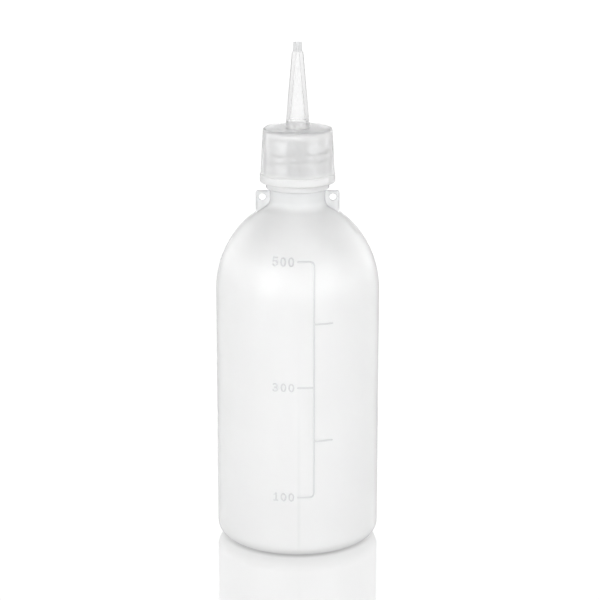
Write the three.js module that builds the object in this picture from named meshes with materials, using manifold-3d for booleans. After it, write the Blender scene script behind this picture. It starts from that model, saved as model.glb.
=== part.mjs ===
// A round 500 ml squeeze bottle with a screw cap and a conical spout, in millimetres, +Z up.
// The foot stands on z = 0, the bottle's axis is Z and the moulded scale faces -Y.
import * as THREE from 'three';
import { mergeVertices } from 'three/addons/utils/BufferGeometryUtils.js';
import Module from 'manifold-3d';

// Body: a blow-moulded shell with a straight wall, an elliptical shoulder and a hollow base.
const BODY_RADIUS = 36.5;
const BODY_WALL = 1.2;
const BASE_CORNER = 6.55;
const BASE_THICKNESS = 1.6;
const FOOT_WIDTH = 5.5;
const PUSH_UP_HEIGHT = 2.6;
const STRAIGHT_TOP = 115.1;
const SHOULDER_BULGE = 38.5;
const SHOULDER_RISE = 41.5;

// Neck: a short bare stretch, a ring, then the stretch that the cap covers.
const NECK_RADIUS = 12.3;
const NECK_WALL = 2.0;
const NECK_FILLET = 4.5;
const NECK_BARE_LENGTH = 4.8;
const RING_REACH = 1.75;
const RING_HEIGHT = 2.6;
const RING_ROUND = 0.6;
const RIM_ROUND = 0.4;

// Lugs: two flat plates in the parting plane, each with an eye for a cord or a seal wire.
const LUG_REACH = 6.3;
const LUG_THICKNESS = 2.2;
const LUG_DROP = 1.25;
const LUG_CORNER = 1.3;
const EYE_RADIUS = 1.6;
const EYE_INSET = 2.95;
const EYE_DROP = 2.9;

// Scale: raised lines on the front, with a mark for each 100 ml, lowest first.
const MARK_HEIGHTS = [29.2, 55.0, 79.7, 108.2, 134.9];
const SCALE_OFFSET = 7.15;
const SCALE_CORNER = 1.8;
const LEFT_TICK_LENGTH = 6.9;
const RIGHT_TICK_LENGTH = 7.8;
const LINE_WIDTH = 0.9;
const LINE_HEIGHT = 0.35;

// Screw cap: a tapered skirt with a bead round its rim and a hole in its flat top.
const CAP_HEIGHT = 24.0;
const CAP_TOP_THICKNESS = 1.8;
const CAP_EDGE_ROUND = 1.3;
const CAP_RING_GAP = 0.3;
const THREAD_ROOM = 1.6;
const SKIRT_WALL_LOW = 2.5;
const SKIRT_WALL_HIGH = 1.5;
const BEAD_HEIGHT = 3.8;
const BEAD_REACH = 0.3;
const BEAD_ROUND = 0.5;

// Spout nozzle: a cone with a drop-forming tip, a flange under the cap's top and a stem in the neck.
const SPOUT_LENGTH = 37.7;
const SPOUT_FOOT_RADIUS = 5.35;
const SPOUT_HEAD_RADIUS = 2.43;
const SPOUT_WALL = 1.7;
const SPOUT_CLEARANCE = 0.25;
const TIP_LENGTH = 4.4;
const TIP_FOOT_RADIUS = 1.98;
const TIP_RADIUS = 1.78;
const ORIFICE_RADIUS = 0.5;
const ORIFICE_LENGTH = 1.2;
const MOUTH_RADIUS = 1.1;
const MOUTH_DEPTH = 1.9;
const FLANGE_THICKNESS = 1.4;
const STEM_WALL = 1.25;
const STEM_LENGTH = 18.9;

// Sealing washer, and the free play between stacked pieces.
const WASHER_THICKNESS = 1.0;
const WASHER_MARGIN = 0.2;
const SEAT_GAP = 0.1;

// Facets of the round forms.
const BOTTLE_SIDES = 48;
const CAP_SIDES = 48;
const NOZZLE_SIDES = 32;
const WIDE_ARC_STEPS = 8;
const SMALL_ARC_STEPS = 3;
const PUSH_UP_STEPS = 4;

// How far cutting bodies run past what they cut, and the distances below which points are one point.
const OVERCUT = 1;
const MERGE_DISTANCE = 1e-5;
const ANGLE_TOLERANCE = 1e-9;

const wasm = await Module();
wasm.setup();

const point = (radius, height) => new THREE.Vector2(radius, height);

// Points of an elliptical arc in the (radius, height) plane, both ends included.
function arc(centre, reach, rise, from, to, steps) {
  const points = [];
  for (let i = 0; i <= steps; i += 1) {
    const angle = from + ((to - from) * i) / steps;
    points.push(point(centre.x + reach * Math.cos(angle), centre.y + rise * Math.sin(angle)));
  }
  return points;
}

const quarter = (centre, radius, from, to) => arc(centre, radius, radius, from, to, SMALL_ARC_STEPS);

// A closed geometry with shared vertices and no collapsed triangles.
function closedGeometry(geometry) {
  geometry.deleteAttribute('normal');
  geometry.deleteAttribute('uv');
  const merged = mergeVertices(geometry, MERGE_DISTANCE);
  const index = merged.index.array;
  const kept = [];
  for (let i = 0; i < index.length; i += 3) {
    const [a, b, c] = [index[i], index[i + 1], index[i + 2]];
    if (a !== b && b !== c && c !== a) kept.push(a, b, c);
  }
  merged.setIndex(kept);
  return merged;
}

// A profile of (radius, height) points, climbing on its outer side, turned round the Z axis.
function turned(profile, sides) {
  const apart = profile.filter((p, i) => i === 0 || p.distanceTo(profile[i - 1]) > MERGE_DISTANCE);
  const geometry = new THREE.LatheGeometry(apart, sides);
  geometry.rotateX(Math.PI / 2);
  return closedGeometry(geometry);
}

// A flat shape drawn in (x, z), given thickness along Y from back to front.
function plate(shape, front, back) {
  const geometry = new THREE.ExtrudeGeometry(shape, {
    depth: back - front,
    bevelEnabled: false,
    curveSegments: WIDE_ARC_STEPS,
  });
  geometry.rotateX(Math.PI / 2);
  geometry.translate(0, back, 0);
  return closedGeometry(geometry);
}

function solid(geometry) {
  const vertProperties = new Float32Array(geometry.attributes.position.array);
  const triVerts = new Uint32Array(geometry.index.array);
  return new wasm.Manifold(new wasm.Mesh({ numProp: 3, vertProperties, triVerts }));
}

function geometryOf(manifold) {
  const mesh = manifold.getMesh();
  const geometry = new THREE.BufferGeometry();
  geometry.setAttribute('position', new THREE.BufferAttribute(mesh.vertProperties, 3));
  geometry.setIndex(new THREE.BufferAttribute(mesh.triVerts, 1));
  return geometry;
}

// Where a fillet circle touches both the shoulder's ellipse and the neck's straight wall.
function neckFillet(inset, neckRadius) {
  const centreRadius = BODY_RADIUS - SHOULDER_BULGE;
  const bulge = SHOULDER_BULGE - inset;
  const rise = SHOULDER_RISE - inset;
  const fillet = NECK_FILLET + inset;
  let low = 0;
  let high = Math.PI / 2;
  let normal = 0;
  while (high - low > ANGLE_TOLERANCE) {
    const angle = (low + high) / 2;
    normal = Math.atan2(Math.sin(angle) / rise, Math.cos(angle) / bulge);
    const reach = centreRadius + bulge * Math.cos(angle) + fillet * Math.cos(normal);
    if (reach > neckRadius + fillet) low = angle;
    else high = angle;
  }
  const height = STRAIGHT_TOP + rise * Math.sin(low) + fillet * Math.sin(normal);
  return { angle: low, normal, fillet, bulge, rise, centre: point(neckRadius + fillet, height) };
}

// The vessel's side from its foot to the neck, moved in from the outer surface by an inset.
function vesselSide(inset, floor, neckRadius) {
  const corner = BASE_CORNER - inset;
  const cornerCentre = point(BODY_RADIUS - BASE_CORNER, floor + corner);
  const shoulderCentre = point(BODY_RADIUS - SHOULDER_BULGE, STRAIGHT_TOP);
  const neck = neckFillet(inset, neckRadius);
  return [
    ...arc(cornerCentre, corner, corner, -Math.PI / 2, 0, WIDE_ARC_STEPS),
    ...arc(shoulderCentre, neck.bulge, neck.rise, 0, neck.angle, WIDE_ARC_STEPS),
    ...arc(neck.centre, neck.fillet, neck.fillet, Math.PI + neck.normal, Math.PI, WIDE_ARC_STEPS),
  ];
}

// The shallow dome under the base, from the axis to the inner edge of the foot ring.
function pushUp(floor) {
  const radius = BODY_RADIUS - BASE_CORNER - FOOT_WIDTH;
  const sphere = (radius ** 2 + PUSH_UP_HEIGHT ** 2) / (2 * PUSH_UP_HEIGHT);
  const centre = point(0, floor + PUSH_UP_HEIGHT - sphere);
  return arc(centre, sphere, sphere, Math.PI / 2, Math.acos(radius / sphere), PUSH_UP_STEPS);
}

// Heights of the closure's stack, from the neck's foot up.
const neckBore = NECK_RADIUS - NECK_WALL;
const neckFoot = neckFillet(0, NECK_RADIUS).centre.y;
const ringBottom = neckFoot + NECK_BARE_LENGTH;
const ringTop = ringBottom + RING_HEIGHT;
const capRim = ringTop + CAP_RING_GAP;
const capTop = capRim + CAP_HEIGHT;
const flangeTop = capTop - CAP_TOP_THICKNESS - SEAT_GAP;
const flangeBottom = flangeTop - FLANGE_THICKNESS;
const washerTop = flangeBottom - SEAT_GAP;
const washerBottom = washerTop - WASHER_THICKNESS;
const rimTop = washerBottom - SEAT_GAP;

function bottleOutside() {
  const ringRadius = NECK_RADIUS + RING_REACH;
  const ringCore = ringRadius - RING_ROUND;
  const rimCore = point(NECK_RADIUS - RIM_ROUND, rimTop - RIM_ROUND);
  return [
    ...pushUp(0),
    ...vesselSide(0, 0, NECK_RADIUS),
    point(NECK_RADIUS, ringBottom),
    ...quarter(point(ringCore, ringBottom + RING_ROUND), RING_ROUND, -Math.PI / 2, 0),
    ...quarter(point(ringCore, ringTop - RING_ROUND), RING_ROUND, 0, Math.PI / 2),
    point(NECK_RADIUS, ringTop),
    ...quarter(rimCore, RIM_ROUND, 0, Math.PI / 2),
    point(0, rimTop),
  ];
}

function bottleInside() {
  return [
    ...pushUp(BASE_THICKNESS),
    ...vesselSide(BODY_WALL, BASE_THICKNESS, neckBore),
    point(neckBore, rimTop + OVERCUT),
    point(0, rimTop + OVERCUT),
  ];
}

function lug() {
  const edge = NECK_RADIUS + LUG_REACH;
  const top = ringBottom - LUG_DROP;
  const shape = new THREE.Shape();
  shape.moveTo(0, STRAIGHT_TOP);
  shape.lineTo(edge, STRAIGHT_TOP);
  shape.lineTo(edge, top - LUG_CORNER);
  shape.absarc(edge - LUG_CORNER, top - LUG_CORNER, LUG_CORNER, 0, Math.PI / 2, false);
  shape.lineTo(0, top);
  shape.closePath();
  const eye = new THREE.Path();
  eye.absarc(edge - EYE_INSET, top - EYE_DROP, EYE_RADIUS, 0, 2 * Math.PI, true);
  shape.holes.push(eye);
  return plate(shape, -LUG_THICKNESS / 2, LUG_THICKNESS / 2);
}

function tick(from, to, height) {
  const shape = new THREE.Shape();
  shape.moveTo(from, height - LINE_WIDTH / 2);
  shape.lineTo(to, height - LINE_WIDTH / 2);
  shape.lineTo(to, height + LINE_WIDTH / 2);
  shape.lineTo(from, height + LINE_WIDTH / 2);
  shape.closePath();
  return shape;
}

// The scale's upright line, which turns into the lowest and highest marks at its two ends.
function scaleBracket(low, high) {
  const half = LINE_WIDTH / 2;
  const inner = SCALE_CORNER - half;
  const outer = SCALE_CORNER + half;
  const turnX = SCALE_OFFSET - SCALE_CORNER;
  const end = SCALE_OFFSET - LEFT_TICK_LENGTH;
  const shape = new THREE.Shape();
  shape.moveTo(end, low - half);
  shape.absarc(turnX, low + SCALE_CORNER, outer, -Math.PI / 2, 0, false);
  shape.absarc(turnX, high - SCALE_CORNER, outer, 0, Math.PI / 2, false);
  shape.lineTo(end, high + half);
  shape.lineTo(end, high - half);
  shape.absarc(turnX, high - SCALE_CORNER, inner, Math.PI / 2, 0, true);
  shape.absarc(turnX, low + SCALE_CORNER, inner, 0, -Math.PI / 2, true);
  shape.lineTo(end, low + half);
  shape.closePath();
  return shape;
}

// The scale's outline, cut from a layer that lies on the bottle's surface.
function scaleRelief() {
  const lowest = MARK_HEIGHTS[0];
  const highest = MARK_HEIGHTS[MARK_HEIGHTS.length - 1];
  const shapes = [scaleBracket(lowest, highest)];
  MARK_HEIGHTS.slice(1, -1).forEach((height, i) => {
    const toRight = i % 2 === 0;
    const length = toRight ? RIGHT_TICK_LENGTH : -LEFT_TICK_LENGTH;
    const [from, to] = [SCALE_OFFSET, SCALE_OFFSET + length].sort((a, b) => a - b);
    shapes.push(tick(from, to, height));
  });
  const front = -BODY_RADIUS - LINE_HEIGHT - OVERCUT;
  const plates = shapes.map((shape) => solid(plate(shape, front, 0)));
  const outline = plates.reduce((joined, next) => joined.add(next));
  const side = vesselSide(-LINE_HEIGHT, 0, NECK_RADIUS);
  const layer = [point(0, 0), ...side, point(0, side[side.length - 1].y)];
  return outline.intersect(solid(turned(layer, BOTTLE_SIDES)));
}

function bottle() {
  const rightLug = lug();
  const leftLug = rightLug.clone().rotateZ(Math.PI);
  const shell = solid(turned(bottleOutside(), BOTTLE_SIDES))
    .add(solid(rightLug))
    .add(solid(leftLug))
    .add(scaleRelief())
    .subtract(solid(turned(bottleInside(), BOTTLE_SIDES)));
  return geometryOf(shell);
}

function sealingWasher() {
  const inner = neckBore + WASHER_MARGIN;
  const outer = NECK_RADIUS - WASHER_MARGIN;
  const profile = [
    point(inner, washerBottom),
    point(outer, washerBottom),
    point(outer, washerTop),
    point(inner, washerTop),
    point(inner, washerBottom),
  ];
  return turned(profile, CAP_SIDES);
}

function spoutNozzle() {
  const bore = SPOUT_FOOT_RADIUS - SPOUT_WALL;
  const stemRadius = bore + STEM_WALL;
  const stemBottom = flangeBottom - STEM_LENGTH;
  const tipTop = capTop + SPOUT_LENGTH;
  const tipFoot = tipTop - TIP_LENGTH;
  const mouthFoot = tipTop - MOUTH_DEPTH;
  const profile = [
    point(bore, stemBottom),
    point(stemRadius, stemBottom),
    point(stemRadius, flangeBottom),
    point(NECK_RADIUS, flangeBottom),
    point(NECK_RADIUS, flangeTop),
    point(SPOUT_FOOT_RADIUS, flangeTop),
    point(SPOUT_FOOT_RADIUS, capTop),
    point(SPOUT_HEAD_RADIUS, tipFoot),
    point(TIP_FOOT_RADIUS, tipFoot),
    point(TIP_RADIUS, tipTop),
    point(MOUTH_RADIUS, tipTop),
    point(ORIFICE_RADIUS, mouthFoot),
    point(ORIFICE_RADIUS, mouthFoot - ORIFICE_LENGTH),
    point(bore, capTop),
    point(bore, stemBottom),
  ];
  return turned(profile, NOZZLE_SIDES);
}

function screwCap() {
  const bore = NECK_RADIUS + THREAD_ROOM;
  const lowRadius = bore + SKIRT_WALL_LOW;
  const highRadius = bore + SKIRT_WALL_HIGH;
  const beadRadius = lowRadius + BEAD_REACH;
  const beadCore = beadRadius - BEAD_ROUND;
  const beadTop = capRim + BEAD_HEIGHT;
  const edgeCore = point(highRadius - CAP_EDGE_ROUND, capTop - CAP_EDGE_ROUND);
  const hole = SPOUT_FOOT_RADIUS + SPOUT_CLEARANCE;
  const ceiling = capTop - CAP_TOP_THICKNESS;
  const profile = [
    point(bore, capRim),
    ...quarter(point(beadCore, capRim + BEAD_ROUND), BEAD_ROUND, -Math.PI / 2, 0),
    ...quarter(point(beadCore, beadTop - BEAD_ROUND), BEAD_ROUND, 0, Math.PI / 2),
    point(lowRadius, beadTop),
    ...quarter(edgeCore, CAP_EDGE_ROUND, 0, Math.PI / 2),
    point(hole, capTop),
    point(hole, ceiling),
    point(bore, ceiling),
    point(bore, capRim),
  ];
  return turned(profile, CAP_SIDES);
}

function piece(name, geometry, color, roughness) {
  const material = new THREE.MeshStandardMaterial({ color, roughness, metalness: 0 });
  const mesh = new THREE.Mesh(geometry, material);
  mesh.name = name;
  return mesh;
}

const squeezeBottle = new THREE.Group();
squeezeBottle.add(
  piece('bottle', bottle(), 0xeef0f0, 0.38),
  piece('sealing_washer', sealingWasher(), 0xc4c4c3, 0.7),
  piece('spout_nozzle', spoutNozzle(), 0xf2f3f3, 0.25),
  piece('screw_cap', screwCap(), 0xe0e2e2, 0.3),
);

export default squeezeBottle;
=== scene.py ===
"""A translucent squeeze bottle with a screw cap and a spout, on a pale studio floor. Metres, +Z up."""
import math

import bmesh
import bpy
import numpy as np
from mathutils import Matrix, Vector


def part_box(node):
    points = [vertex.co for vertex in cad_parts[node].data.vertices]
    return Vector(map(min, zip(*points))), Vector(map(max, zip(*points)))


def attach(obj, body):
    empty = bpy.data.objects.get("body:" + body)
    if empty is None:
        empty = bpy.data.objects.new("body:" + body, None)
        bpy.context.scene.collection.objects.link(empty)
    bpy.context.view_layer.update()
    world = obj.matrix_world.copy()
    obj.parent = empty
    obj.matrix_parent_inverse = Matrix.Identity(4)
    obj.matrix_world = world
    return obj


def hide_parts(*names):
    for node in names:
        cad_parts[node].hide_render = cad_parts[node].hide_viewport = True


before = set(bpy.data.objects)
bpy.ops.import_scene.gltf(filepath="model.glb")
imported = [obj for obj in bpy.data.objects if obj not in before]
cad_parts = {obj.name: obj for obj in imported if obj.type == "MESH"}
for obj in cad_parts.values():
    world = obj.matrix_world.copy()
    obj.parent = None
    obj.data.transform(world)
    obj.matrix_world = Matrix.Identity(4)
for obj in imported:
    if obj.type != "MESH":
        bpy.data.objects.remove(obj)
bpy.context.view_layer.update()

MM = 0.001

# Heights and outer radii, from the frame.
_, bottle_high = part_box("bottle")
cap_low, cap_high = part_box("screw_cap")
nozzle_low, nozzle_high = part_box("spout_nozzle")
washer_low, washer_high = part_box("sealing_washer")
BODY_RADIUS = bottle_high.x
RIM_TOP = bottle_high.z
CAP_RIM = cap_low.z
CAP_TOP = cap_high.z
BEAD_RADIUS = cap_high.x
NECK_RADIUS = nozzle_high.x
STEM_BOTTOM = nozzle_low.z
TIP_TOP = nozzle_high.z
WASHER_RADIUS = washer_high.x
WASHER_BOTTOM = washer_low.z
WASHER_TOP = washer_high.z

# Body of the bottle.
BODY_WALL = 1.2 * MM
BASE_CORNER = 6.55 * MM
BASE_THICKNESS = 1.6 * MM
FOOT_WIDTH = 5.5 * MM
PUSH_UP_HEIGHT = 2.6 * MM
STRAIGHT_TOP = 115.1 * MM
SHOULDER_BULGE = 38.5 * MM
SHOULDER_RISE = 41.5 * MM

# Neck, ring and lugs.
NECK_WALL = 2.0 * MM
NECK_FILLET = 4.5 * MM
RING_REACH = 1.75 * MM
RING_HEIGHT = 2.6 * MM
RING_ROUND = 0.6 * MM
CAP_RING_GAP = 0.3 * MM
RING_TOP = CAP_RIM - CAP_RING_GAP
RING_BOTTOM = RING_TOP - RING_HEIGHT
RIM_ROUND = 0.4 * MM
LUG_REACH = 6.3 * MM
LUG_EDGE = NECK_RADIUS + LUG_REACH
LUG_THICKNESS = 2.2 * MM
LUG_DROP = 1.25 * MM
LUG_TOP = RING_BOTTOM - LUG_DROP
LUG_CORNER = 1.3 * MM
LUG_EDGE_ROUND = 0.5 * MM
EYE_RADIUS = 1.6 * MM
EYE_INSET = 2.95 * MM
EYE_DROP = 2.9 * MM

# Raised scale on the front: a mark for each 100 ml, lowest first, and a number at every other one.
MARK_HEIGHTS = [29.2 * MM, 55.0 * MM, 79.7 * MM, 108.2 * MM, 134.9 * MM]
NUMBERS = {0: "100", 2: "300", 4: "500"}
SCALE_OFFSET = 7.15 * MM
SCALE_CORNER = 1.8 * MM
LEFT_TICK_LENGTH = 6.9 * MM
RIGHT_TICK_LENGTH = 7.8 * MM
LINE_WIDTH = 0.9 * MM
LINE_HEIGHT = 0.35 * MM
NUMBER_START = -10.6 * MM
NUMBER_HEIGHT = 3.25 * MM
NUMBER_PITCH = 3.45 * MM
NUMBER_STROKE = 0.65 * MM
RIDGE_SINK = 0.4 * MM
RIDGE_STEP = 0.6 * MM

# Lines left by the mould: up both sides and across the base where the tube was pinched shut. A faint streak
# up the front is painted shade, where the gap between the soft boxes' reflections falls.
PARTING_WIDTH = 0.5 * MM
PARTING_HEIGHT = 0.08 * MM
PARTING_TOP = STRAIGHT_TOP + 0.9 * SHOULDER_RISE
FRONT_SHADE_OFFSET = 0.5 * MM
FRONT_SHADE_WIDTH = 2.4 * MM
PINCH_WIDTH = 0.9 * MM
PINCH_HEIGHT = 0.3 * MM
PINCH_REACH = 20.0 * MM

# Screw cap, with its thread and the neck's.
CAP_TOP_THICKNESS = 1.8 * MM
CAP_EDGE_ROUND = 1.3 * MM
THREAD_ROOM = 1.6 * MM
SKIRT_WALL_LOW = 2.5 * MM
SKIRT_WALL_HIGH = 1.5 * MM
CAP_BORE = NECK_RADIUS + THREAD_ROOM
SKIRT_LOW_RADIUS = CAP_BORE + SKIRT_WALL_LOW
SKIRT_HIGH_RADIUS = CAP_BORE + SKIRT_WALL_HIGH
BEAD_HEIGHT = 3.8 * MM
BEAD_ROUND = 0.5 * MM
THREAD_PITCH = 3.2 * MM
THREAD_DEPTH = 1.0 * MM
THREAD_ROOT_WIDTH = 1.5 * MM
THREAD_CREST_WIDTH = 0.7 * MM
THREAD_SINK = 0.3 * MM
THREAD_TURNS = 2.5
THREAD_INSET = 6.0 * MM
THREAD_START = CAP_RIM + THREAD_INSET
THREAD_END_SHARE = 0.05

# Spout nozzle and washer. The cap's hole is tighter round the spout than in the solid, so that no dark gap
# shows.
SPOUT_FOOT_RADIUS = 5.35 * MM
SPOUT_HEAD_RADIUS = 2.43 * MM
SPOUT_WALL = 1.7 * MM
SPOUT_CLEARANCE = 0.05 * MM
TIP_LENGTH = 4.4 * MM
TIP_FOOT_RADIUS = 1.98 * MM
TIP_RADIUS = 1.78 * MM
ORIFICE_RADIUS = 0.5 * MM
ORIFICE_LENGTH = 1.2 * MM
MOUTH_RADIUS = 1.1 * MM
MOUTH_DEPTH = 1.9 * MM
SEAT_GAP = 0.1 * MM
STEM_WALL = 1.25 * MM
EDGE_ROUND = 0.25 * MM
WASHER_MARGIN = 0.2 * MM

# Fineness of the meshes.
ROUND_STEPS = 160
FINE_ANGLE = math.radians(0.9)
COARSE_ANGLE = math.radians(2.6)
FRONT_FROM = math.radians(-20.0)
FRONT_TO = math.radians(26.0)
WALL_ROWS = 48
SHOULDER_ROWS = 56
FILLET_ROWS = 14
CORNER_ROWS = 14
PUSH_UP_ROWS = 16
INSIDE_SHOULDER_ROWS = 40
INSIDE_FILLET_ROWS = 12
EDGE_STEPS = 6
FINE_EDGE_STEPS = 10
EYE_STEPS = 40
LUG_EDGE_STEPS = 3
FIGURE_STEPS = 12
BOWL_STEPS = 14
PARTING_ROWS = 80
PARTING_CORNER_START = 4
PINCH_ROWS = 40
RIDGE_END_TURNS = [math.radians(a) for a in (82, 60, 30)]
THREAD_STEPS_PER_TURN = 72
THREAD_FADE_STEPS = 16
SHARP_ANGLE = math.radians(38.0)
WELD_DISTANCE = 1e-6
TINY = 1e-7

# Camera, fitted to the photograph's outline.
CAMERA_TARGET = Vector((0.0, 0.0, 0.10707))
CAMERA_DISTANCE = 0.9375
CAMERA_PITCH = math.radians(14.814)
CAMERA_LENS = 125.29
CAMERA_SENSOR = 36.0
CAMERA_NEAR = 0.05
CAMERA_SHIFT = (0.004, 0.00984)

# Floor: glows most behind the bottle, with a painted shadow round the foot. Through plastic its sheen is
# even.
FLOOR_REACH = 4.0
FLOOR_LEVEL = 1.25
FLOOR_GLOSS = 0.42
FLOOR_ROUGHNESS = 0.05
MIRROR_LEVEL = 0.78
SEEN_THROUGH_LEVEL = 1.1
POOL_MIDDLE = (0.0, 1.4, 0.0)
POOL_SHAPE = (1.0, 0.3, 1.0)
POOL_INNER = 0.2
POOL_OUTER = 0.34
POOL_EDGE_LEVEL = 0.69
CONTACT_LEVEL = 0.45
CONTACT_REACH = 6.0 * MM

# Light: the level all round, and panels by azimuth from the front, elevation, inner and outer angle and
# strength. A negative strength takes light away.
AMBIENT = 2.13
PANELS = [
    (-44.0, 16.0, 8.0, 26.0, 1.6),
    (40.0, 16.0, 8.0, 26.0, 1.4),
    (-156.0, 8.0, 6.0, 16.0, -1.0),
    (156.0, 8.0, 6.0, 16.0, -1.1),
    (-150.0, 26.0, 8.0, 18.0, -0.4),
    (150.0, 26.0, 8.0, 18.0, -0.4),
    (180.0, 15.0, 8.0, 30.0, -0.6),
    (-105.0, 50.0, 15.0, 40.0, -0.7),
    (105.0, 50.0, 15.0, 40.0, -0.7),
    (0.0, 90.0, 35.0, 75.0, -1.52),
]
LIGHT_BOUNCES = 32
DIFFUSE_BOUNCES = 16
WHITE = (1.0, 1.0, 1.0, 1.0)

# Colours: two for each cloudy wall, its own, and one of painted shade for each place drawn darker than it.
BOTTLE_TINTS = [(0.965, 0.968, 0.972), (0.98, 0.982, 0.984)]
FRONT_SHADE_TINT = (0.92, 0.925, 0.93)
NECK_SHADE_TINT = (0.88, 0.885, 0.89)
LUG_SHADE_TINT = (0.82, 0.825, 0.83)
LUG_RIM_SHADE_TINT = (0.68, 0.685, 0.69)
FOOT_SHADE_TINT = (0.92, 0.925, 0.93)
SCALE_SHADE_TINT = (0.78, 0.79, 0.8)
CAP_TINTS = [(0.992, 0.993, 0.994), (0.998, 0.998, 0.998)]
CAP_TOP_SHADE_TINT = (0.89, 0.895, 0.9)
SPOUT_TINTS = [(0.99, 0.991, 0.992), (0.998, 0.998, 0.998)]
NIB_SHADE_TINT = (0.78, 0.785, 0.79)
STEM_SHADE_TINT = (0.4, 0.405, 0.41)
WASHER_TINTS = [(0.5, 0.51, 0.51), (0.58, 0.58, 0.58)]

# Where those painted shades begin and end.
NECK_SHADE_START = STRAIGHT_TOP + 0.85 * SHOULDER_RISE
NECK_SHADE_FULL = STRAIGHT_TOP + SHOULDER_RISE
NECK_SHADE_FADE = 0.5 * MM
LUG_SHADE_WIDTH = 5.0 * LUG_THICKNESS
LUG_SHADE_RADII = (NECK_RADIUS + 0.5 * MM, NECK_RADIUS + 1.5 * MM)
LUG_SHADE_HEIGHTS = (LUG_TOP - 10.0 * MM, LUG_TOP - 7.0 * MM)
LUG_RIM_RADII = (LUG_EDGE - 1.2 * MM, LUG_EDGE - 0.4 * MM)
LUG_RIM_HEIGHTS = (LUG_TOP - 1.0 * MM, LUG_TOP - 0.3 * MM)
FOOT_SHADE_HEIGHTS = (1.0 * MM, 9.0 * MM)
CAP_TOP_SHADE_HEIGHTS = (CAP_TOP - 0.6 * MM, CAP_TOP - 0.1 * MM)
NIB_SHADE_HEIGHTS = (TIP_TOP - 1.1 * TIP_LENGTH, TIP_TOP - 0.9 * TIP_LENGTH)
STEM_SHADE_TOP = WASHER_BOTTOM - 0.5 * MM

# How light goes through the plastic. It passes in a share that changes between two heights.
BOTTLE_CLEAR_HEIGHTS = (CAP_RIM, CAP_RIM + 2.0 * MM)
BOTTLE_CLEAR_SHARES = (0.5, 0.97)
CAP_CLEAR_HEIGHTS = (CAP_RIM + 2.5 * MM, CAP_RIM + 6.0 * MM)
CAP_CLEAR_SHARES = (0.58, 0.69)
SPOUT_CLEAR_HEIGHTS = (STEM_SHADE_TOP, CAP_TOP + 5.0 * MM)
SPOUT_CLEAR_SHARES = (0.15, 0.97)
BOTTLE_IOR = 1.45
CAP_IOR = 1.14
SPOUT_IOR = 1.08
SPOUT_ABSORPTION = 58.0
SCATTER_DEPTH = 0.8 * MM
WASHER_SCATTER_DEPTH = 0.5 * MM

# The middle of the noise's range, which is spread over the values that are asked for.
NOISE_LOW = 0.3
NOISE_HIGH = 0.7


def arc(centre, reach, rise, start, end, steps):
    """Points of an elliptical arc in the (radius, height) plane, both ends included."""
    angles = np.linspace(start, end, steps + 1)
    return [(centre[0] + reach * math.cos(a), centre[1] + rise * math.sin(a)) for a in angles]


def quarter(centre, radius, start, end, steps=EDGE_STEPS):
    return arc(centre, radius, radius, start, end, steps)


def even_angles(count):
    return np.linspace(0.0, 2 * math.pi, count, endpoint=False)


def new_object(name, vertices, faces):
    mesh = bpy.data.meshes.new(name)
    mesh.from_pydata(vertices, [], faces)
    mesh.validate()
    piece = bpy.data.objects.new(name, mesh)
    bpy.context.scene.collection.objects.link(piece)
    return piece


def grid_object(name, rows):
    """A surface of revolution from rows of points. A row of one point is a pole on the axis."""
    vertices = []
    indices = []
    columns = max(len(row) for row in rows)
    for row in rows:
        first = len(vertices)
        vertices.extend(row)
        indices.append([first] * columns if len(row) == 1 else list(range(first, first + columns)))
    faces = []
    for low, high in zip(indices, indices[1:]):
        for i in range(columns):
            j = (i + 1) % columns
            corners = [low[i], low[j], high[j], high[i]]
            face = [c for k, c in enumerate(corners) if c != corners[k - 1]]
            if len(face) > 2:
                faces.append(face)
    return new_object(name, vertices, faces)


def circle(radius, height, angles):
    if radius < TINY:
        return [(0.0, 0.0, height)]
    return [(radius * math.sin(a), -radius * math.cos(a), height) for a in angles]


def turned(name, profile, angles):
    """A closed profile, climbing on its outer side, turned round the Z axis."""
    piece = grid_object(name, [circle(r, z, angles) for r, z in profile])
    weld(piece)
    return piece


def weld(piece):
    work = bmesh.new()
    work.from_mesh(piece.data)
    bmesh.ops.remove_doubles(work, verts=work.verts, dist=WELD_DISTANCE)
    bmesh.ops.recalc_face_normals(work, faces=work.faces)
    work.to_mesh(piece.data)
    work.free()


def combine(piece, tool, operation):
    """Joins a tool to a piece, or cuts it away, and removes the tool."""
    step = piece.modifiers.new(operation, "BOOLEAN")
    step.operation = operation
    step.solver = "MANIFOLD"
    step.object = tool
    graph = bpy.context.evaluated_depsgraph_get()
    made = bpy.data.meshes.new_from_object(piece.evaluated_get(graph))
    piece.modifiers.clear()
    piece.data = made
    bpy.data.objects.remove(tool)


def smooth(piece):
    piece.data.shade_smooth()
    piece.data.set_sharp_from_angle(angle=SHARP_ANGLE)


def finish_piece(piece, body, node, material):
    smooth(piece)
    piece.data.materials.clear()
    piece.data.materials.append(material)
    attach(piece, body)
    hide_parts(node)


# The bottle's profile.
def neck_fillet(inset, neck_radius):
    """Where a fillet circle touches both the shoulder's ellipse and the neck's straight wall."""
    bulge = SHOULDER_BULGE - inset
    rise = SHOULDER_RISE - inset
    fillet = NECK_FILLET + inset
    low = 0.0
    high = math.pi / 2
    while high - low > TINY:
        angle = (low + high) / 2
        normal = math.atan2(math.sin(angle) / rise, math.cos(angle) / bulge)
        reach = BODY_RADIUS - SHOULDER_BULGE + bulge * math.cos(angle) + fillet * math.cos(normal)
        if reach > neck_radius + fillet:
            low = angle
        else:
            high = angle
    height = STRAIGHT_TOP + rise * math.sin(low) + fillet * math.sin(normal)
    return low, normal, (neck_radius + fillet, height)


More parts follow.
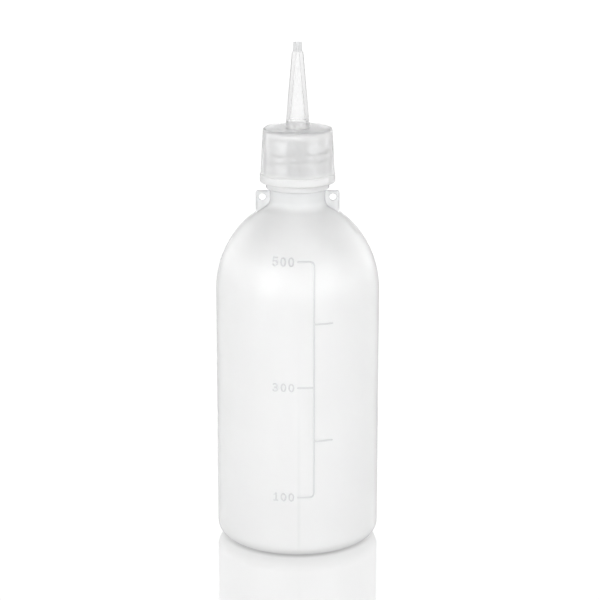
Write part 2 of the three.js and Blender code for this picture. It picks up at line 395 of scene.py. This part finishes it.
def push_up(floor, steps=PUSH_UP_ROWS):
    """The shallow dome under the base, from the axis to the inner edge of the foot ring."""
    radius = BODY_RADIUS - BASE_CORNER - FOOT_WIDTH
    sphere = (radius ** 2 + PUSH_UP_HEIGHT ** 2) / (2 * PUSH_UP_HEIGHT)
    centre = (0.0, floor + PUSH_UP_HEIGHT - sphere)
    dome = arc(centre, sphere, sphere, math.pi / 2, math.acos(radius / sphere), steps)
    return [(0.0, dome[0][1]), *dome[1:]]


def vessel_corner(inset, floor):
    corner = BASE_CORNER - inset
    return arc((BODY_RADIUS - BASE_CORNER, floor + corner), corner, corner, -math.pi / 2, 0.0, CORNER_ROWS)


def vessel_shoulder(inset, neck_radius, shoulder_rows, fillet_rows):
    angle, normal, centre = neck_fillet(inset, neck_radius)
    shoulder = (BODY_RADIUS - SHOULDER_BULGE, STRAIGHT_TOP)
    fillet = NECK_FILLET + inset
    return [
        *arc(shoulder, SHOULDER_BULGE - inset, SHOULDER_RISE - inset, 0.0, angle, shoulder_rows),
        *arc(centre, fillet, fillet, math.pi + normal, math.pi, fillet_rows),
    ]


def wall_row(height):
    """Radius and outward normal of the bottle's outer surface at a height up to the neck's fillet."""
    if height <= STRAIGHT_TOP:
        return BODY_RADIUS, 1.0, 0.0
    angle = math.asin((height - STRAIGHT_TOP) / SHOULDER_RISE)
    normal = math.atan2(math.sin(angle) / SHOULDER_RISE, math.cos(angle) / SHOULDER_BULGE)
    radius = BODY_RADIUS - SHOULDER_BULGE * (1 - math.cos(angle))
    return radius, math.cos(normal), math.sin(normal)


def on_front(x, z):
    """The place on the bottle's front that lies at x and z, and its normal."""
    radius, normal_r, normal_z = wall_row(z)
    sine = x / radius
    cosine = math.sqrt(1 - sine * sine)
    return Vector((x, -radius * cosine, z)), Vector((normal_r * sine, -normal_r * cosine, normal_z))


# Raised lines.
def dense(points):
    """The same line with more points, so that it follows a curved surface."""
    line = [points[0]]
    for (ax, az), (bx, bz) in zip(points, points[1:]):
        steps = max(1, round(math.hypot(bx - ax, bz - az) / RIDGE_STEP))
        line += [(ax + (bx - ax) * i / steps, az + (bz - az) * i / steps) for i in range(1, steps + 1)]
    return line


def ridge_section(width, height):
    """Half the outline of a low ridge with a rounded top, mirrored to the other side: across, up."""
    half = [
        (0.5 * width, -RIDGE_SINK),
        (0.5 * width, 0.0),
        (0.4 * width, 0.7 * height),
        (0.24 * width, height),
    ]
    return half + [(-across, up) for across, up in reversed(half)]


def ridge(name, places, normals, width, height):
    """A low ridge along places on a surface, sunk a little into it, with round ends."""
    section = ridge_section(width, height)
    first = (places[1] - places[0]).normalized()
    last = (places[-1] - places[-2]).normalized()
    stations = []
    for turn in RIDGE_END_TURNS:
        reach = width / 2 * math.sin(turn)
        stations.append((places[0] - first * reach, normals[0], first, math.cos(turn)))
    for i, place in enumerate(places):
        ahead = (places[min(i + 1, len(places) - 1)] - places[max(i - 1, 0)]).normalized()
        stations.append((place, normals[i], ahead, 1.0))
    for turn in reversed(RIDGE_END_TURNS):
        reach = width / 2 * math.sin(turn)
        stations.append((places[-1] + last * reach, normals[-1], last, math.cos(turn)))
    vertices = []
    for place, normal, ahead, share in stations:
        side = normal.cross(ahead).normalized()
        vertices += [place + side * (across * share) + normal * up for across, up in section]
    return tube(name, vertices, len(section))


def tube(name, vertices, size):
    """A closed body from rings of vertices, with flat ends."""
    faces = [list(range(size)), list(range(len(vertices) - size, len(vertices)))]
    for first in range(0, len(vertices) - size, size):
        for j in range(size):
            k = (j + 1) % size
            faces.append([first + j, first + k, first + size + k, first + size + j])
    piece = new_object(name, vertices, faces)
    weld(piece)
    return piece


def front_ridge(points, width):
    places, normals = zip(*(on_front(x, z) for x, z in dense(points)))
    return ridge("stroke", places, normals, width, LINE_HEIGHT)


def digit_strokes(digit):
    """Strokes of a figure in a cell 0.6 wide and 1 high."""
    if digit == "0":
        return [
            arc((0.3, 0.5), 0.3, 0.5, math.radians(-90), math.radians(90), FIGURE_STEPS),
            arc((0.3, 0.5), 0.3, 0.5, math.radians(90), math.radians(270), FIGURE_STEPS),
        ]
    if digit == "1":
        return [[(0.08, 0.8), (0.32, 1.0)], [(0.32, 1.0), (0.32, 0.0)], [(0.08, 0.0), (0.56, 0.0)]]
    if digit == "3":
        return [
            arc((0.26, 0.76), 0.27, 0.24, math.radians(150), math.radians(-100), FIGURE_STEPS),
            arc((0.26, 0.26), 0.32, 0.26, math.radians(95), math.radians(-150), FIGURE_STEPS),
        ]
    bowl = arc((0.26, 0.31), 0.32, 0.31, math.radians(130), math.radians(-150), BOWL_STEPS)
    return [[(0.56, 1.0), (0.12, 1.0)], [(0.12, 1.0), bowl[0]], bowl]


def number_ridges(text, height):
    low = height - NUMBER_HEIGHT / 2
    for i, digit in enumerate(text):
        left = NUMBER_START + i * NUMBER_PITCH
        for stroke in digit_strokes(digit):
            points = [(left + NUMBER_HEIGHT * x, low + NUMBER_HEIGHT * z) for x, z in stroke]
            yield front_ridge(points, NUMBER_STROKE)


def scale_ridges():
    """The upright line, which turns into the lowest and highest marks, and the ticks between them."""
    low, high = MARK_HEIGHTS[0], MARK_HEIGHTS[-1]
    turn = SCALE_OFFSET - SCALE_CORNER
    end = SCALE_OFFSET - LEFT_TICK_LENGTH
    bracket = [
        (end, low),
        *quarter((turn, low + SCALE_CORNER), SCALE_CORNER, -math.pi / 2, 0.0),
        *quarter((turn, high - SCALE_CORNER), SCALE_CORNER, 0.0, math.pi / 2),
        (end, high),
    ]
    yield front_ridge(bracket, LINE_WIDTH)
    for i, height in enumerate(MARK_HEIGHTS[1:-1]):
        reach = RIGHT_TICK_LENGTH if i % 2 == 0 else -LEFT_TICK_LENGTH
        yield front_ridge([(SCALE_OFFSET, height), (SCALE_OFFSET + reach, height)], LINE_WIDTH)


def parting_ridge(side):
    """The fine line up one side of the bottle, from its base corner to its lug."""
    corner = vessel_corner(0.0, 0.0)
    heights = np.linspace(BASE_CORNER, PARTING_TOP, PARTING_ROWS)
    places = [Vector((side * r, 0.0, z)) for r, z in corner[PARTING_CORNER_START:-1]]
    middle = Vector((side * (BODY_RADIUS - BASE_CORNER), 0.0, BASE_CORNER))
    normals = [(place - middle).normalized() for place in places]
    for height in heights:
        radius, normal_r, normal_z = wall_row(height)
        places.append(Vector((side * radius, 0.0, height)))
        normals.append(Vector((side * normal_r, 0.0, normal_z)))
    return ridge("parting_line", places, normals, PARTING_WIDTH, PARTING_HEIGHT)


def pinch_ridge():
    """The welded seam across the push-up under the base."""
    dome = [(r, z) for r, z in push_up(0.0, PINCH_ROWS) if r < PINCH_REACH]
    line = [(-r, z) for r, z in reversed(dome[1:])] + dome
    places = [Vector((x, 0.0, z)) for x, z in line]
    normals = [Vector((0.0, 0.0, -1.0))] * len(places)
    return ridge("pinch_seam", places, normals, PINCH_WIDTH, PINCH_HEIGHT)


# The bottle's mesh.
def bottle_angles():
    """Columns round the bottle, closer together across the scale."""
    front = np.arange(FRONT_FROM, FRONT_TO, FINE_ANGLE)
    rest = np.arange(FRONT_TO, FRONT_FROM + 2 * math.pi - COARSE_ANGLE / 2, COARSE_ANGLE)
    return np.concatenate([front, rest])


def bottle_outside():
    """The bottle as a filled body, up to its rim."""
    ring_core = NECK_RADIUS + RING_REACH - RING_ROUND
    rim_core = (NECK_RADIUS - RIM_ROUND, RIM_TOP - RIM_ROUND)
    profile = [
        *push_up(0.0),
        *vessel_corner(0.0, 0.0)[:-1],
        *[(BODY_RADIUS, z) for z in np.linspace(BASE_CORNER, STRAIGHT_TOP, WALL_ROWS)],
        *vessel_shoulder(0.0, NECK_RADIUS, SHOULDER_ROWS, FILLET_ROWS)[1:],
        (NECK_RADIUS, RING_BOTTOM),
        *quarter((ring_core, RING_BOTTOM + RING_ROUND), RING_ROUND, -math.pi / 2, 0.0),
        *quarter((ring_core, RING_TOP - RING_ROUND), RING_ROUND, 0.0, math.pi / 2),
        (NECK_RADIUS, RING_TOP),
        *quarter(rim_core, RIM_ROUND, 0.0, math.pi / 2),
        (0.0, RIM_TOP),
    ]
    return turned("bottle_shell", profile, bottle_angles())


def bottle_inside():
    """The hollow of the bottle, running out past its rim."""
    bore = NECK_RADIUS - NECK_WALL
    past = RIM_TOP + RIM_ROUND
    profile = [
        *push_up(BASE_THICKNESS),
        *vessel_corner(BODY_WALL, BASE_THICKNESS),
        *vessel_shoulder(BODY_WALL, bore, INSIDE_SHOULDER_ROWS, INSIDE_FILLET_ROWS),
        (bore, past),
        (0.0, past),
    ]
    return turned("hollow", profile, even_angles(ROUND_STEPS))


def plate(name, outline, hole, thickness):
    """A flat plate in the XZ plane with rounded edges, from an outline and the outline of its hole."""
    curve = bpy.data.curves.new(name, "CURVE")
    curve.dimensions = "2D"
    curve.fill_mode = "BOTH"
    curve.extrude = thickness / 2 - LUG_EDGE_ROUND
    curve.bevel_depth = LUG_EDGE_ROUND
    curve.bevel_resolution = LUG_EDGE_STEPS
    curve.offset = -LUG_EDGE_ROUND
    for points in (outline, hole):
        spline = curve.splines.new("POLY")
        spline.points.add(len(points) - 1)
        spline.use_cyclic_u = True
        for spot, (x, z) in zip(spline.points, points):
            spot.co = (x, z, 0.0, 1.0)
    holder = bpy.data.objects.new(name, curve)
    bpy.context.scene.collection.objects.link(holder)
    graph = bpy.context.evaluated_depsgraph_get()
    mesh = bpy.data.meshes.new_from_object(holder.evaluated_get(graph))
    bpy.data.objects.remove(holder)
    piece = bpy.data.objects.new(name, mesh)
    bpy.context.scene.collection.objects.link(piece)
    for vertex in mesh.vertices:
        x, z, y = vertex.co
        vertex.co = (x, -y, z)
    weld(piece)
    return piece


def lug(side):
    eye = (LUG_EDGE - EYE_INSET, LUG_TOP - EYE_DROP)
    corner = (LUG_EDGE - LUG_CORNER, LUG_TOP - LUG_CORNER)
    outline = [
        (0.0, STRAIGHT_TOP),
        (LUG_EDGE, STRAIGHT_TOP),
        *quarter(corner, LUG_CORNER, 0.0, math.pi / 2, FINE_EDGE_STEPS),
        (0.0, LUG_TOP),
    ]
    hole = arc(eye, EYE_RADIUS, EYE_RADIUS, 0.0, 2 * math.pi, EYE_STEPS)[:-1]
    mirrored = [[(side * x, z) for x, z in points] for points in (outline, hole)]
    return plate("lug", *mirrored, LUG_THICKNESS)


def thread(name, root, crest, start):
    """A helical ridge with faded ends. A crest inside the root makes an inner thread."""
    steps = int(THREAD_TURNS * THREAD_STEPS_PER_TURN)
    rings = []
    for i in range(steps + 1):
        angle = 2 * math.pi * THREAD_TURNS * i / steps
        height = start + THREAD_PITCH * THREAD_TURNS * i / steps
        fade = min(1.0, i / THREAD_FADE_STEPS, (steps - i) / THREAD_FADE_STEPS)
        share = THREAD_END_SHARE + (1 - THREAD_END_SHARE) * math.sin(fade * math.pi / 2)
        peak = root + (crest - root) * share
        section = [
            (root, -THREAD_ROOT_WIDTH / 2),
            (peak, -THREAD_CREST_WIDTH / 2),
            (peak, THREAD_CREST_WIDTH / 2),
            (root, THREAD_ROOT_WIDTH / 2),
        ]
        rings.append([(r * math.sin(angle), -r * math.cos(angle), height + z) for r, z in section])
    return tube(name, [place for ring in rings for place in ring], len(rings[0]))


def raised_lines():
    """Scale, numbers and mould lines as one body."""
    lines = [*scale_ridges(), parting_ridge(1), parting_ridge(-1), pinch_ridge()]
    for mark, text in NUMBERS.items():
        lines += number_ridges(text, MARK_HEIGHTS[mark])
    whole = lines[0]
    for line in lines[1:]:
        combine(whole, line, "UNION")
    return whole


def mark_relief(piece):
    """Keeps how far each point of the scale stands out of the plain wall, as a share of a line's height."""
    mesh = piece.data
    relief = mesh.attributes.new("relief", "FLOAT", "POINT")
    reach = SCALE_OFFSET + RIGHT_TICK_LENGTH + LINE_WIDTH
    top = MARK_HEIGHTS[-1] + NUMBER_HEIGHT
    for vertex, share in zip(mesh.vertices, relief.data):
        x, y, z = vertex.co
        if y < 0 and abs(x) < reach and BASE_CORNER < z < top:
            radius, normal_r, _ = wall_row(z)
            height = (math.hypot(x, y) - radius) * normal_r
            share.value = min(1.0, max(0.0, height / LINE_HEIGHT))


def bottle(material):
    piece = bottle_outside()
    for side in (1, -1):
        combine(piece, lug(side), "UNION")
    root = NECK_RADIUS - THREAD_SINK
    neck_thread = thread("neck_thread", root, NECK_RADIUS + THREAD_DEPTH, THREAD_START)
    combine(piece, neck_thread, "UNION")
    combine(piece, raised_lines(), "UNION")
    combine(piece, bottle_inside(), "DIFFERENCE")
    mark_relief(piece)
    finish_piece(piece, "bottle", "bottle", material)


def screw_cap(material):
    bead_core = BEAD_RADIUS - BEAD_ROUND
    bead_top = CAP_RIM + BEAD_HEIGHT
    edge = (SKIRT_HIGH_RADIUS - CAP_EDGE_ROUND, CAP_TOP - CAP_EDGE_ROUND)
    hole = SPOUT_FOOT_RADIUS + SPOUT_CLEARANCE
    ceiling = CAP_TOP - CAP_TOP_THICKNESS
    profile = [
        (CAP_BORE, CAP_RIM),
        *quarter((bead_core, CAP_RIM + BEAD_ROUND), BEAD_ROUND, -math.pi / 2, 0.0),
        *quarter((bead_core, bead_top - BEAD_ROUND), BEAD_ROUND, 0.0, math.pi / 2),
        (SKIRT_LOW_RADIUS, bead_top),
        *quarter(edge, CAP_EDGE_ROUND, 0.0, math.pi / 2, FINE_EDGE_STEPS),
        (hole, CAP_TOP),
        (hole, ceiling),
        (CAP_BORE, ceiling),
        (CAP_BORE, CAP_RIM),
    ]
    piece = turned("screw_cap_shell", profile, even_angles(ROUND_STEPS))
    root = CAP_BORE + THREAD_SINK
    start = THREAD_START + THREAD_PITCH / 2
    inner_thread = thread("cap_thread", root, CAP_BORE - THREAD_DEPTH, start)
    combine(piece, inner_thread, "UNION")
    finish_piece(piece, "cap", "screw_cap", material)


def spout_nozzle(material):
    bore = SPOUT_FOOT_RADIUS - SPOUT_WALL
    stem = bore + STEM_WALL
    flange_bottom = WASHER_TOP + SEAT_GAP
    flange_top = CAP_TOP - CAP_TOP_THICKNESS - SEAT_GAP
    tip_foot = TIP_TOP - TIP_LENGTH
    mouth_foot = TIP_TOP - MOUTH_DEPTH
    tip_core = (TIP_RADIUS - EDGE_ROUND, TIP_TOP - EDGE_ROUND)
    profile = [
        (bore, STEM_BOTTOM),
        *quarter((stem - EDGE_ROUND, STEM_BOTTOM + EDGE_ROUND), EDGE_ROUND, -math.pi / 2, 0.0),
        (stem, flange_bottom),
        (NECK_RADIUS, flange_bottom),
        (NECK_RADIUS, flange_top),
        (SPOUT_FOOT_RADIUS, flange_top),
        (SPOUT_FOOT_RADIUS, CAP_TOP),
        (SPOUT_HEAD_RADIUS, tip_foot - EDGE_ROUND),
        (TIP_FOOT_RADIUS, tip_foot + EDGE_ROUND),
        *quarter(tip_core, EDGE_ROUND, 0.0, math.pi / 2),
        (MOUTH_RADIUS, TIP_TOP),
        (ORIFICE_RADIUS, mouth_foot),
        (ORIFICE_RADIUS, mouth_foot - ORIFICE_LENGTH),
        (bore, CAP_TOP),
        (bore, STEM_BOTTOM),
    ]
    piece = turned("spout_nozzle_body", profile, even_angles(ROUND_STEPS))
    finish_piece(piece, "nozzle", "spout_nozzle", material)


def sealing_washer(material):
    inner = NECK_RADIUS - NECK_WALL + WASHER_MARGIN
    outer_core = WASHER_RADIUS - EDGE_ROUND
    inner_core = inner + EDGE_ROUND
    low = WASHER_BOTTOM + EDGE_ROUND
    high = WASHER_TOP - EDGE_ROUND
    profile = [
        *quarter((outer_core, low), EDGE_ROUND, -math.pi / 2, 0.0),
        *quarter((outer_core, high), EDGE_ROUND, 0.0, math.pi / 2),
        *quarter((inner_core, high), EDGE_ROUND, math.pi / 2, math.pi),
        *quarter((inner_core, low), EDGE_ROUND, math.pi, 3 * math.pi / 2),
    ]
    piece = turned("sealing_washer_ring", [*profile, profile[0]], even_angles(ROUND_STEPS))
    finish_piece(piece, "washer", "sealing_washer", material)


# Materials.
def add_node(tree, kind, settings=None, inputs=None):
    """A shader node with its settings, and with inputs set to values or linked to other nodes' outputs."""
    made = tree.nodes.new("ShaderNode" + kind)
    for name, value in (settings or {}).items():
        setattr(made, name, value)
    for name, value in (inputs or {}).items():
        if isinstance(value, bpy.types.NodeSocket):
            tree.links.new(value, made.inputs[name])
        else:
            made.inputs[name].default_value = value
    return made


def new_material(name):
    """An empty material, and the tree for its nodes."""
    material = bpy.data.materials.new(name)
    material.use_nodes = True
    material.node_tree.nodes.clear()
    return material, material.node_tree


def arithmetic(tree, operation, *values):
    """An operation on values, each given as a number or as another node's output."""
    return add_node(tree, "Math", {"operation": operation}, dict(enumerate(values))).outputs[0]


def product(tree, first, second):
    return arithmetic(tree, "MULTIPLY", first, second)


def ranged(tree, value, start, end, low, high):
    """A value that goes smoothly from low to high while another goes from start to end."""
    limits = {"From Min": start, "From Max": end, "To Min": low, "To Max": high}
    made = add_node(tree, "MapRange", {"interpolation_type": "SMOOTHSTEP"}, {"Value": value, **limits})
    return made.outputs["Result"]


def own_place(tree):
    """The shaded point in the piece's own space."""
    return add_node(tree, "TexCoord").outputs["Object"]


def along(tree, axis):
    return add_node(tree, "SeparateXYZ", inputs={"Vector": own_place(tree)}).outputs[axis]


def distance(tree, middle, shape):
    """How far the shaded point is from a place, along axes that are each scaled by the shape."""
    offset = add_node(tree, "VectorMath", {"operation": "SUBTRACT"}, {0: own_place(tree), 1: middle})
    scaled = add_node(tree, "VectorMath", {"operation": "MULTIPLY"}, {0: offset.outputs[0], 1: shape})
    return add_node(tree, "VectorMath", {"operation": "LENGTH"}, {0: scaled.outputs[0]}).outputs["Value"]


def noise(tree, scale, detail, low=0.0, high=1.0, stretch=(1.0, 1.0, 1.0)):
    """Soft noise in the piece's own space, between two values. A low stretch draws it out along an axis."""
    spread = add_node(tree, "Mapping", inputs={"Vector": own_place(tree), "Scale": stretch})
    cloud = add_node(tree, "TexNoise", inputs={"Vector": spread.outputs[0], "Scale": scale, "Detail": detail})
    limits = {"From Min": NOISE_LOW, "From Max": NOISE_HIGH, "To Min": low, "To Max": high}
    return add_node(tree, "MapRange", inputs={"Value": cloud.outputs["Fac"], **limits}).outputs["Result"]


def tinted(tree, share, first, second):
    """A colour between two others, each given as numbers or as another node's output."""
    mixed = add_node(tree, "Mix", {"data_type": "RGBA"}, {"Factor": share})
    for socket, colour in zip((mixed.inputs[6], mixed.inputs[7]), (first, second)):
        if isinstance(colour, bpy.types.NodeSocket):
            tree.links.new(colour, socket)
        else:
            socket.default_value = (*colour, 1.0)
    return mixed.outputs[2]


def bumped(tree, height, depth, under=None):
    """A bump of a depth in metres, over another bump where one is given."""
    inputs = {"Height": height, "Distance": depth}
    if under:
        inputs["Normal"] = under
    return add_node(tree, "Bump", inputs=inputs).outputs["Normal"]


def rising(tree, bottom, top, low, high):
    """A value that climbs from low to high between two heights."""
    return ranged(tree, along(tree, "Z"), bottom, top, low, high)


def outward(tree, near, far, low, high):
    """A value that climbs from low to high between two distances from the Z axis."""
    return ranged(tree, distance(tree, (0.0, 0.0, 0.0), (1.0, 1.0, 0.0)), near, far, low, high)


def beside(tree, axis, offset, width):
    """One at an offset along X or Y, falling to nothing at half a width on each side of it."""
    gap = arithmetic(tree, "ABSOLUTE", arithmetic(tree, "SUBTRACT", along(tree, axis), offset))
    return ranged(tree, gap, 0.0, width / 2, 1.0, 0.0)


def plastic(name, look, absorption=0.0):
    """A translucent plastic. Its look gives the shader's inputs, and absorption is a density per metre."""
    material, tree = new_material(name)
    scattering = {"Subsurface Weight": 1.0, "Subsurface Radius": (1.0, 1.0, 1.0)}
    shader = add_node(tree, "BsdfPrincipled", inputs={**scattering, **look(tree)})
    output = add_node(tree, "OutputMaterial", inputs={"Surface": shader.outputs[0]})
    if absorption:
        volume = {"Color": (0.0, 0.0, 0.0, 1.0), "Density": absorption}
        inside = add_node(tree, "VolumeAbsorption", inputs=volume)
        tree.links.new(inside.outputs[0], output.inputs["Volume"])
    return material


def bottle_grain(tree):
    """Slow waves, fine upright die lines and a grain, each over the one before."""
    waves = bumped(tree, noise(tree, scale=55.0, detail=2.0), depth=0.1 * MM)
    upright = noise(tree, scale=700.0, detail=2.0, stretch=(1.0, 1.0, 0.01))
    die_lines = bumped(tree, upright, depth=0.003 * MM, under=waves)
    return bumped(tree, noise(tree, scale=2600.0, detail=2.0), depth=0.004 * MM, under=die_lines)


def lug_shade(tree, under):
    """Painted shade on the lugs' plates, and a darker painted shade on their rims, over another colour."""
    beyond_neck = outward(tree, *LUG_SHADE_RADII, 0.0, 1.0)
    plane = product(tree, beside(tree, "Y", 0.0, LUG_SHADE_WIDTH), beyond_neck)
    lugs = product(tree, plane, rising(tree, *LUG_SHADE_HEIGHTS, 0.0, 1.0))
    plates = tinted(tree, lugs, under, LUG_SHADE_TINT)
    side_rim = outward(tree, *LUG_RIM_RADII, 0.0, 1.0)
    top_rim = rising(tree, *LUG_RIM_HEIGHTS, 0.0, 1.0)
    rim = arithmetic(tree, "MAXIMUM", side_rim, top_rim)
    return tinted(tree, product(tree, lugs, rim), plates, LUG_RIM_SHADE_TINT)


def bottle_tint(tree):
    """A cloudy wall, with painted shade on a streak up the front, the neck, the lugs, the foot and the scale.
    """
    wall = tinted(tree, noise(tree, scale=35.0, detail=3.0), *BOTTLE_TINTS)
    # Painted shade: a darker streak up the front, where the gap between the soft boxes' reflections falls,
    # gone by the shoulder.
    front_shade = beside(tree, "X", FRONT_SHADE_OFFSET, FRONT_SHADE_WIDTH)
    front_shade = product(tree, front_shade, rising(tree, 0.0, STRAIGHT_TOP, 1.0, 0.0))
    streak = tinted(tree, front_shade, wall, FRONT_SHADE_TINT)
    # Painted shade on the neck, from high on the shoulder to just below the ring.
    above_shoulder = rising(tree, NECK_SHADE_START, NECK_SHADE_FULL, 0.0, 1.0)
    below_ring = rising(tree, RING_BOTTOM - NECK_SHADE_FADE, RING_BOTTOM, 1.0, 0.0)
    neck = tinted(tree, product(tree, above_shoulder, below_ring), streak, NECK_SHADE_TINT)
    # Painted shade on the lugs and their rims.
    lugs = lug_shade(tree, neck)
    # Painted shade, darker towards the foot.
    foot = tinted(tree, rising(tree, *FOOT_SHADE_HEIGHTS, 1.0, 0.0), lugs, FOOT_SHADE_TINT)
    # Painted shade on the raised scale and numbers, as far as each point stands out of the wall.
    relief = add_node(tree, "Attribute", {"attribute_name": "relief"}).outputs["Fac"]
    return tinted(tree, relief, foot, SCALE_SHADE_TINT)


def bottle_look(tree):
    """Blown polyethylene: cloudy, with painted shade from place to place, and clear at the neck under the
    cap.
    """
    return {
        "Base Color": bottle_tint(tree),
        "Roughness": noise(tree, scale=120.0, detail=4.0, low=0.13, high=0.19),
        "IOR": BOTTLE_IOR,
        "Transmission Weight": rising(tree, *BOTTLE_CLEAR_HEIGHTS, *BOTTLE_CLEAR_SHARES),
        "Subsurface Scale": SCATTER_DEPTH,
        "Normal": bottle_grain(tree),
    }


def cap_look(tree):
    """Moulded polyethylene, clearer above its bead, with painted shade on its top."""
    wall = tinted(tree, noise(tree, scale=90.0, detail=3.0), *CAP_TINTS)
    # Painted shade on the cap's top.
    top = rising(tree, *CAP_TOP_SHADE_HEIGHTS, 0.0, 1.0)
    return {
        "Base Color": tinted(tree, top, wall, CAP_TOP_SHADE_TINT),
        "Roughness": noise(tree, scale=200.0, detail=4.0, low=0.2, high=0.26),
        "IOR": CAP_IOR,
        "Transmission Weight": rising(tree, *CAP_CLEAR_HEIGHTS, *CAP_CLEAR_SHARES),
        "Subsurface Scale": SCATTER_DEPTH,
        "Normal": bumped(tree, noise(tree, scale=1800.0, detail=2.0), depth=0.003 * MM),
    }


def spout_look(tree):
    """Clear polyethylene, milky at the spout's foot, with painted shade on the nib and on the stem."""
    body = tinted(tree, noise(tree, scale=120.0, detail=3.0), *SPOUT_TINTS)
    # Painted shade on the nib's outer wall.
    tip = rising(tree, *NIB_SHADE_HEIGHTS, 0.0, 1.0)
    outside = outward(tree, MOUTH_RADIUS, TIP_RADIUS, 0.0, 1.0)
    nib = tinted(tree, product(tree, tip, outside), body, NIB_SHADE_TINT)
    # Painted shade: the stem is made dark below the washer, standing in for its shade inside the neck and
    # cap.
    stem = rising(tree, STEM_SHADE_TOP, WASHER_BOTTOM, 1.0, 0.0)
    flow = noise(tree, scale=500.0, detail=2.0, stretch=(1.0, 1.0, 0.05))
    return {
        "Base Color": tinted(tree, stem, nib, STEM_SHADE_TINT),
        "Roughness": noise(tree, scale=250.0, detail=4.0, low=0.1, high=0.15),
        "IOR": SPOUT_IOR,
        "Transmission Weight": rising(tree, *SPOUT_CLEAR_HEIGHTS, *SPOUT_CLEAR_SHARES),
        "Subsurface Scale": SCATTER_DEPTH,
        "Normal": bumped(tree, flow, depth=0.0002 * MM),
    }


def washer_look(tree):
    """Grey foam with fine cells."""
    return {
        "Base Color": tinted(tree, noise(tree, scale=800.0, detail=3.0), *WASHER_TINTS),
        "Roughness": noise(tree, scale=400.0, detail=3.0, low=0.6, high=0.8),
        "Subsurface Scale": WASHER_SCATTER_DEPTH,
        "Normal": bumped(tree, noise(tree, scale=3000.0, detail=3.0), depth=0.03 * MM),
    }


# Studio.
def glow(tree, strength):
    return add_node(tree, "Emission", inputs={"Strength": strength}).outputs[0]


def blend(tree, share, first, second):
    """A mix of two shaders, with a share of the second."""
    return add_node(tree, "MixShader", inputs={"Fac": share, 1: first, 2: second}).outputs[0]


def studio_floor():
    """A pale glossy glowing sheet: white to the camera, painted shadow at the foot, even sheen through
    plastic.
    """
    corners = [(-1, -1), (1, -1), (1, 1), (-1, 1)]
    floor = new_object("floor", [(FLOOR_REACH * x, FLOOR_REACH * y, 0.0) for x, y in corners], [[0, 1, 2, 3]])
    material, tree = new_material("floor")
    foot = BODY_RADIUS - BASE_CORNER
    from_axis = distance(tree, (0.0, 0.0, 0.0), (1.0, 1.0, 1.0))
    # Painted contact shadow round the foot, seen by the camera too.
    contact = ranged(tree, from_axis, foot, foot + CONTACT_REACH, CONTACT_LEVEL, 1.0)
    # A painted pool of light behind the bottle, in the floor's glow.
    from_pool = distance(tree, POOL_MIDDLE, POOL_SHAPE)
    pool = ranged(tree, from_pool, POOL_INNER, POOL_OUTER, FLOOR_LEVEL, FLOOR_LEVEL * POOL_EDGE_LEVEL)
    path = add_node(tree, "LightPath").outputs
    matt = glow(tree, product(tree, contact, pool))
    seen = blend(tree, path["Is Camera Ray"], matt, glow(tree, contact))
    grey = (MIRROR_LEVEL, MIRROR_LEVEL, MIRROR_LEVEL, 1.0)
    mirror = add_node(tree, "BsdfGlossy", inputs={"Roughness": FLOOR_ROUGHNESS, "Color": grey}).outputs[0]
    sheen = blend(tree, path["Is Transmission Ray"], mirror, glow(tree, SEEN_THROUGH_LEVEL))
    add_node(tree, "OutputMaterial", inputs={"Surface": blend(tree, FLOOR_GLOSS, seen, sheen)})
    floor.data.materials.append(material)


def studio_world():
    """Light from all round: white to the camera, shaped by soft boxes and dark panels for everything else."""
    world = bpy.data.worlds.new("studio")
    bpy.context.scene.world = world
    world.use_nodes = True
    tree = world.node_tree
    tree.nodes.clear()
    direction = add_node(tree, "TexCoord").outputs["Generated"]
    level = AMBIENT
    for panel in PANELS:
        level = arithmetic(tree, "ADD", level, panel_light(tree, direction, *panel))
    shaped = add_node(tree, "Background", inputs={"Color": WHITE, "Strength": level}).outputs[0]
    plain = add_node(tree, "Background", inputs={"Color": WHITE}).outputs[0]
    path = add_node(tree, "LightPath").outputs
    add_node(tree, "OutputWorld", inputs={"Surface": blend(tree, path["Is Camera Ray"], shaped, plain)})


def panel_light(tree, direction, azimuth, elevation, inner, outer, strength):
    """A round panel of light, seen from the bottle, full within the inner angle and gone at the outer."""
    turn = math.radians(azimuth)
    tilt = math.radians(elevation)
    middle = (math.sin(turn) * math.cos(tilt), -math.cos(turn) * math.cos(tilt), math.sin(tilt))
    near = add_node(tree, "VectorMath", {"operation": "DOT_PRODUCT"}, {0: direction, 1: middle})
    edge = math.cos(math.radians(outer))
    full = math.cos(math.radians(inner))
    return ranged(tree, near.outputs["Value"], edge, full, 0.0, strength)


def camera():
    lens = bpy.data.cameras.new("camera")
    lens.sensor_width = CAMERA_SENSOR
    lens.lens = CAMERA_LENS
    lens.shift_x, lens.shift_y = CAMERA_SHIFT
    lens.clip_start = CAMERA_NEAR
    holder = bpy.data.objects.new("camera", lens)
    back = Vector((0.0, -math.cos(CAMERA_PITCH), math.sin(CAMERA_PITCH)))
    holder.location = CAMERA_TARGET + back * CAMERA_DISTANCE
    holder.rotation_euler = (-back).to_track_quat("-Z", "Y").to_euler()
    bpy.context.scene.collection.objects.link(holder)
    bpy.context.scene.camera = holder


camera()
studio_floor()
studio_world()
bottle(plastic("milky_polyethylene", bottle_look))
screw_cap(plastic("cap_polyethylene", cap_look))
spout_nozzle(plastic("spout_polyethylene", spout_look, SPOUT_ABSORPTION))
sealing_washer(plastic("washer_foam", washer_look))
cycles = bpy.context.scene.cycles
cycles.max_bounces = LIGHT_BOUNCES
cycles.diffuse_bounces = DIFFUSE_BOUNCES
cycles.transmission_bounces = LIGHT_BOUNCES
bpy.context.scene.view_settings.view_transform = "Standard"
